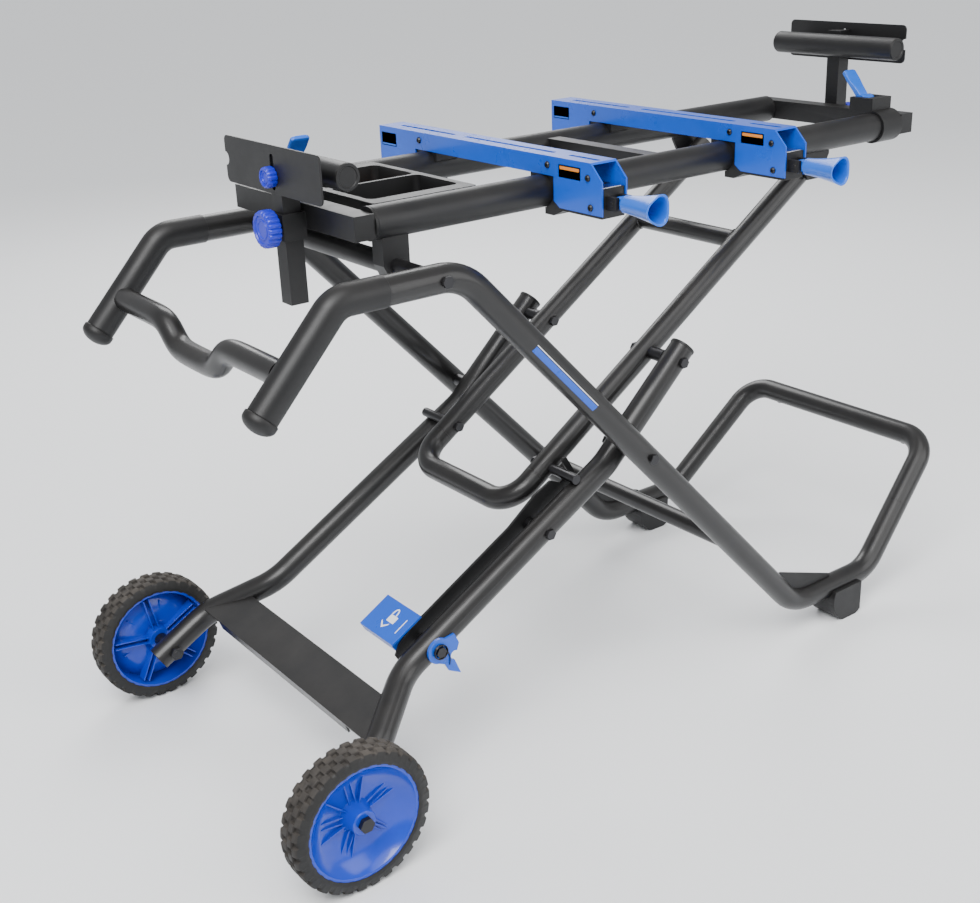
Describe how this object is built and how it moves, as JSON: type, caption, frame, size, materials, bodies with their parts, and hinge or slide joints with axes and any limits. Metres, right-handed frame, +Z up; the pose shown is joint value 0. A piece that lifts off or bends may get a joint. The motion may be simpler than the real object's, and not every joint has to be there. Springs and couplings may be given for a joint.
{
  "type": "folding wheeled miter saw stand",
  "caption": "Folding wheeled stand for a miter saw: round rails carry sliding saw brackets with latch handles, and extension wings slide out at both ends.",
  "frame": {"origin": "on the floor under the centre of the bounding box", "axes": "+X along the rails from the handles to the toe bar, +Y across the stand away from the pedal, +Z up"},
  "size_m": [1.4168, 0.6778, 0.959],
  "materials": {
    "powder_black": "satin powder coat",
    "satin_black": "matt",
    "black_plastic": "moulded matt",
    "blue_paint": "gloss",
    "blue_plastic": "gloss",
    "knob_blue": "semi-gloss",
    "tyre_rubber": "dusty",
    "zinc_steel": "zinc plated"
  },
  "bodies": {
    "main_frame": {"main_tube_near": "powder_black", "main_tube_far": "powder_black", "handle_grip_near": "satin_black", "handle_grip_far": "satin_black", "toe_bar": "powder_black", "frame_crossbar": "powder_black", "handle_bar": "powder_black", "handle_caps": "black_plastic", "feet": "black_plastic", "toe_bumpers": "black_plastic", "foot_braces": "satin_black", "frame_bolts": "zinc_steel"},
    "wheel_frame": {"wheel_leg_near": "powder_black", "wheel_leg_far": "powder_black", "leg_caps": "black_plastic", "step_plate": "powder_black", "axle_set": "zinc_steel", "leg_bolts": "zinc_steel"},
    "wheel_near": {"tyre_near": "tyre_rubber", "hub_near": "blue_plastic"},
    "wheel_far": {"tyre_far": "tyre_rubber", "hub_far": "blue_plastic"},
    "lift_frame": {"lift_leg_near": "powder_black", "lift_leg_far": "powder_black", "lift_u_bar": "powder_black", "lift_crossbar": "powder_black", "lift_pins": "zinc_steel"},
    "top_frame": {"rail_near": "satin_black", "rail_far": "satin_black", "mid_member": "satin_black", "tilt_bracket": "satin_black", "lift_brackets": "satin_black", "top_bolts": "zinc_steel", "tray": "black_plastic", "rail_caps": "black_plastic", "rail_clamp_right": "black_plastic", "rail_clamp_left": "black_plastic"},
    "pedal_latch": {"latch_bar": "satin_black", "latch_pedal": "blue_paint"},
    "hook": {"transport_hook": "blue_paint"},
    "bracket_left": {"saw_beam_left": "blue_paint", "beam_clamp_left": "black_plastic"},
    "latch_handle_left": {"latch_handle_left": "blue_plastic"},
    "wing_left": {"wing_arm_left": "satin_black"},
    "post_left": {"post_left": "satin_black", "support_bar_left": "satin_black"},
    "stop_plate_left": {"stop_plate_left": "satin_black"},
    "post_knob_left": {"post_knob_left": "knob_blue"},
    "stop_knob_left": {"stop_knob_left": "knob_blue"},
    "cam_lever_left": {"cam_lever_left": "blue_plastic"},
    "bracket_right": {"saw_beam_right": "blue_paint", "beam_clamp_right": "black_plastic"},
    "latch_handle_right": {"latch_handle_right": "blue_plastic"},
    "wing_right": {"wing_arm_right": "satin_black"},
    "post_right": {"post_right": "satin_black", "support_bar_right": "satin_black"},
    "stop_plate_right": {"stop_plate_right": "satin_black"},
    "post_knob_right": {"post_knob_right": "knob_blue"},
    "stop_knob_right": {"stop_knob_right": "knob_blue"},
    "cam_lever_right": {"cam_lever_right": "blue_plastic"}
  },
  "joints": [
    {"name": "top_fold", "type": "hinge", "parent": "main_frame", "child": "top_frame", "pos_m": [-0.39279, 0.0061, 0.752], "axis": [0, 1, 0], "range_deg": [0, 26.9]},
    {"name": "wheel_frame_fold", "type": "hinge", "parent": "main_frame", "child": "wheel_frame", "pos_m": [-0.04759, 0.0061, 0.42376], "axis": [0, 1, 0], "range_deg": [-45.3, 0]},
    {"name": "lift_frame_fold", "type": "hinge", "parent": "top_frame", "child": "lift_frame", "pos_m": [0.40921, 0.0061, 0.7577], "axis": [0, 1, 0], "range_deg": [0, 33.41]},
    {"name": "wheel_spin_near", "type": "hinge", "parent": "wheel_frame", "child": "wheel_near", "pos_m": [-0.60679, 0.0061, 0.1016], "axis": [0, 1, 0], "continuous": true},
    {"name": "wheel_spin_far", "type": "hinge", "parent": "wheel_frame", "child": "wheel_far", "pos_m": [-0.60679, 0.0061, 0.1016], "axis": [0, 1, 0], "continuous": true},
    {"name": "pedal_press", "type": "hinge", "parent": "wheel_frame", "child": "pedal_latch", "pos_m": [-0.19579, 0.0061, 0.33131], "axis": [0, 1, 0], "range_deg": [-6, 0], "stiffness_Nm_per_rad": 8, "springref_deg": 17.19},
    {"name": "hook_swing", "type": "hinge", "parent": "wheel_frame", "child": "hook", "pos_m": [-0.39879, 0.0061, 0.21785], "axis": [0, 1, 0], "range_deg": [-25, 0], "stiffness_Nm_per_rad": 0.3, "springref_deg": 22.92},
    {"name": "bracket_slide_left", "type": "slide", "parent": "top_frame", "child": "bracket_left", "axis": [1, 0, 0], "range_m": [-0.09, 0.08]},
    {"name": "handle_lift_left", "type": "hinge", "parent": "bracket_left", "child": "latch_handle_left", "pos_m": [-0.12329, -0.2649, 0.808], "axis": [-1, 0, 0], "range_deg": [0, 60]},
    {"name": "wing_slide_left", "type": "slide", "parent": "top_frame", "child": "wing_left", "axis": [-1, 0, 0], "range_m": [0, 0.45]},
    {"name": "post_slide_left", "type": "slide", "parent": "wing_left", "child": "post_left", "axis": [0, 0, 1], "range_m": [0, 0.06]},
    {"name": "stop_slide_left", "type": "slide", "parent": "post_left", "child": "stop_plate_left", "axis": [0, 0, 1], "range_m": [-0.015, 0.01]},
    {"name": "post_knob_turn_left", "type": "hinge", "parent": "wing_left", "child": "post_knob_left", "pos_m": [-0.47209, -0.0139, 0.797], "axis": [-1, 0, 0], "range_deg": [0, 90]},
    {"name": "stop_knob_turn_left", "type": "hinge", "parent": "post_left", "child": "stop_knob_left", "pos_m": [-0.47209, -0.0139, 0.862], "axis": [-1, 0, 0], "range_deg": [0, 90]},
    {"name": "cam_lever_turn_left", "type": "hinge", "parent": "top_frame", "child": "cam_lever_left", "pos_m": [-0.39579, 0.1091, 0.846], "axis": [-1, 0, 0], "range_deg": [0, 50]},
    {"name": "bracket_slide_right", "type": "slide", "parent": "top_frame", "child": "bracket_right", "axis": [1, 0, 0], "range_m": [-0.1, 0.12]},
    {"name": "handle_lift_right", "type": "hinge", "parent": "bracket_right", "child": "latch_handle_right", "pos_m": [0.22621, -0.2649, 0.808], "axis": [-1, 0, 0], "range_deg": [0, 60]},
    {"name": "wing_slide_right", "type": "slide", "parent": "top_frame", "child": "wing_right", "axis": [-1, 0, 0], "range_m": [-0.45, 0]},
    {"name": "post_slide_right", "type": "slide", "parent": "wing_right", "child": "post_right", "axis": [0, 0, 1], "range_m": [-0.057, 0.03]},
    {"name": "stop_slide_right", "type": "slide", "parent": "post_right", "child": "stop_plate_right", "axis": [0, 0, 1], "range_m": [-0.015, 0.01]},
    {"name": "post_knob_turn_right", "type": "hinge", "parent": "wing_right", "child": "post_knob_right", "pos_m": [0.65351, 0.0261, 0.797], "axis": [1, 0, 0], "range_deg": [0, 90]},
    {"name": "stop_knob_turn_right", "type": "hinge", "parent": "post_right", "child": "stop_knob_right", "pos_m": [0.65351, 0.0261, 0.919], "axis": [1, 0, 0], "range_deg": [0, 90]},
    {"name": "cam_lever_turn_right", "type": "hinge", "parent": "top_frame", "child": "cam_lever_right", "pos_m": [0.57721, -0.0969, 0.846], "axis": [1, 0, 0], "range_deg": [0, 50]}
  ],
  "couplings": [
    {"joint": "wheel_frame_fold", "follows": "top_fold", "ratio": -1.6836},
    {"joint": "lift_frame_fold", "follows": "top_fold", "ratio": 1.2415}
  ]
}
